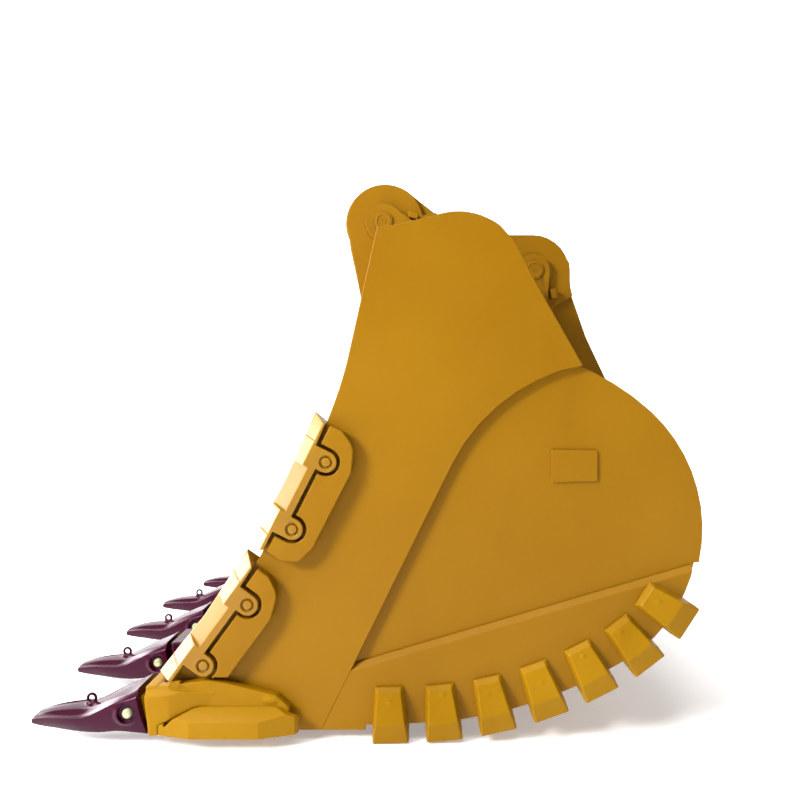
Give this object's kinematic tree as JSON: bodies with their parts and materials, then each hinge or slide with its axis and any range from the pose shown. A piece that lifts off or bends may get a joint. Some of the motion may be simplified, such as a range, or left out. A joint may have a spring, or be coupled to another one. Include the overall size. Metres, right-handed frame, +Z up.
{
  "type": "excavator bucket",
  "caption": "Heavy rock bucket for an excavator, with wear castings, lockable tooth tips and side protectors, and two flag pins in its hinge ears.",
  "frame": {"origin": "centre of the stick pin, midway between the two hinge ears", "axes": "+Y along both pins to the far side, +X back to the heel, +Z up away from the floor; the teeth point along -X"},
  "size_m": [2.3116, 2.084, 2.0539],
  "materials": {
    "yellow_paint": "semi-gloss industrial yellow enamel on plate, castings and hinge",
    "casting_paint": "glossy dark maroon casting paint on tips and middle adapters",
    "lock_steel": "pale zinc-yellow plated quarter-turn locks",
    "pin_steel": "ground steel pins, bushings and bolts"
  },
  "bodies": {
    "bucket": {"side_bar_near": "yellow_paint", "side_bar_far": "yellow_paint", "side_plate_near": "yellow_paint", "side_plate_far": "yellow_paint", "side_wear_plate_near": "yellow_paint", "side_wear_plate_far": "yellow_paint", "wrapper_shell": "yellow_paint", "torque_plate": "yellow_paint", "lip_plate": "yellow_paint", "hinge_plate_near": "yellow_paint", "hinge_plate_far": "yellow_paint", "hinge_doubler_near": "yellow_paint", "hinge_doubler_far": "yellow_paint", "pin_bushings": "pin_steel", "flag_stops": "yellow_paint", "adapter_1": "yellow_paint", "adapter_2": "casting_paint", "adapter_3": "casting_paint", "adapter_4": "casting_paint", "adapter_5": "yellow_paint", "corner_wear_block_near": "yellow_paint", "corner_wear_block_far": "yellow_paint", "lip_shrouds": "yellow_paint", "protector_base_near_upper": "yellow_paint", "protector_base_near_lower": "yellow_paint", "protector_base_far_upper": "yellow_paint", "protector_base_far_lower": "yellow_paint", "side_protector_near_upper": "yellow_paint", "side_protector_near_lower": "yellow_paint", "side_protector_far_upper": "yellow_paint", "side_protector_far_lower": "yellow_paint", "heel_shrouds_near": "yellow_paint", "heel_shrouds_far": "yellow_paint", "back_wear_plate": "yellow_paint", "floor_wear_straps": "yellow_paint", "badge_plates": "yellow_paint", "tip_1": "casting_paint", "tip_2": "casting_paint", "tip_3": "casting_paint", "tip_4": "casting_paint", "tip_5": "casting_paint"},
    "tip_lock_1": {"tip_lock_1": "lock_steel"},
    "tip_lock_2": {"tip_lock_2": "lock_steel"},
    "tip_lock_3": {"tip_lock_3": "lock_steel"},
    "tip_lock_4": {"tip_lock_4": "lock_steel"},
    "tip_lock_5": {"tip_lock_5": "lock_steel"},
    "protector_lock_near_1": {"protector_lock_near_1": "lock_steel"},
    "protector_lock_near_2": {"protector_lock_near_2": "lock_steel"},
    "protector_lock_near_3": {"protector_lock_near_3": "lock_steel"},
    "protector_lock_near_4": {"protector_lock_near_4": "lock_steel"},
    "protector_lock_far_1": {"protector_lock_far_1": "lock_steel"},
    "protector_lock_far_2": {"protector_lock_far_2": "lock_steel"},
    "protector_lock_far_3": {"protector_lock_far_3": "lock_steel"},
    "protector_lock_far_4": {"protector_lock_far_4": "lock_steel"},
    "stick_pin_set": {"stick_pin": "pin_steel", "stick_keeper_bolt": "pin_steel"},
    "link_pin_set": {"link_pin": "pin_steel", "link_keeper_bolt": "pin_steel"}
  },
  "joints": [
    {"name": "tip_lock_1_turn", "type": "hinge", "parent": "bucket", "child": "tip_lock_1", "pos_m": [-0.801, -0.92, -1.771], "axis": [0, -1, 0], "range_deg": [0, 90]},
    {"name": "tip_lock_2_turn", "type": "hinge", "parent": "bucket", "child": "tip_lock_2", "pos_m": [-0.873, -0.46, -1.771], "axis": [0, -1, 0], "range_deg": [0, 90]},
    {"name": "tip_lock_3_turn", "type": "hinge", "parent": "bucket", "child": "tip_lock_3", "pos_m": [-0.873, 0, -1.771], "axis": [0, -1, 0], "range_deg": [0, 90]},
    {"name": "tip_lock_4_turn", "type": "hinge", "parent": "bucket", "child": "tip_lock_4", "pos_m": [-0.873, 0.46, -1.771], "axis": [0, -1, 0], "range_deg": [0, 90]},
    {"name": "tip_lock_5_turn", "type": "hinge", "parent": "bucket", "child": "tip_lock_5", "pos_m": [-0.801, 0.92, -1.771], "axis": [0, 1, 0], "range_deg": [0, 90]},
    {"name": "protector_lock_near_1_turn", "type": "hinge", "parent": "bucket", "child": "protector_lock_near_1", "pos_m": [-0.15673, -0.95, -0.95512], "axis": [0, -1, 0], "range_deg": [0, 90]},
    {"name": "protector_lock_near_2_turn", "type": "hinge", "parent": "bucket", "child": "protector_lock_near_2", "pos_m": [-0.26727, -0.95, -1.17488], "axis": [0, -1, 0], "range_deg": [0, 90]},
    {"name": "protector_lock_near_3_turn", "type": "hinge", "parent": "bucket", "child": "protector_lock_near_3", "pos_m": [-0.4137, -0.95, -1.42249], "axis": [0, -1, 0], "range_deg": [0, 90]},
    {"name": "protector_lock_near_4_turn", "type": "hinge", "parent": "bucket", "child": "protector_lock_near_4", "pos_m": [-0.5583, -0.95, -1.62151], "axis": [0, -1, 0], "range_deg": [0, 90]},
    {"name": "protector_lock_far_1_turn", "type": "hinge", "parent": "bucket", "child": "protector_lock_far_1", "pos_m": [-0.15673, 0.95, -0.95512], "axis": [0, 1, 0], "range_deg": [0, 90]},
    {"name": "protector_lock_far_2_turn", "type": "hinge", "parent": "bucket", "child": "protector_lock_far_2", "pos_m": [-0.26727, 0.95, -1.17488], "axis": [0, 1, 0], "range_deg": [0, 90]},
    {"name": "protector_lock_far_3_turn", "type": "hinge", "parent": "bucket", "child": "protector_lock_far_3", "pos_m": [-0.4137, 0.95, -1.42249], "axis": [0, 1, 0], "range_deg": [0, 90]},
    {"name": "protector_lock_far_4_turn", "type": "hinge", "parent": "bucket", "child": "protector_lock_far_4", "pos_m": [-0.5583, 0.95, -1.62151], "axis": [0, 1, 0], "range_deg": [0, 90]},
    {"name": "stick_pin_draw", "type": "slide", "parent": "bucket", "child": "stick_pin_set", "axis": [0, -1, 0], "range_m": [0, 0.72]},
    {"name": "link_pin_draw", "type": "slide", "parent": "bucket", "child": "link_pin_set", "axis": [0, -1, 0], "range_m": [0, 0.72]}
  ]
}
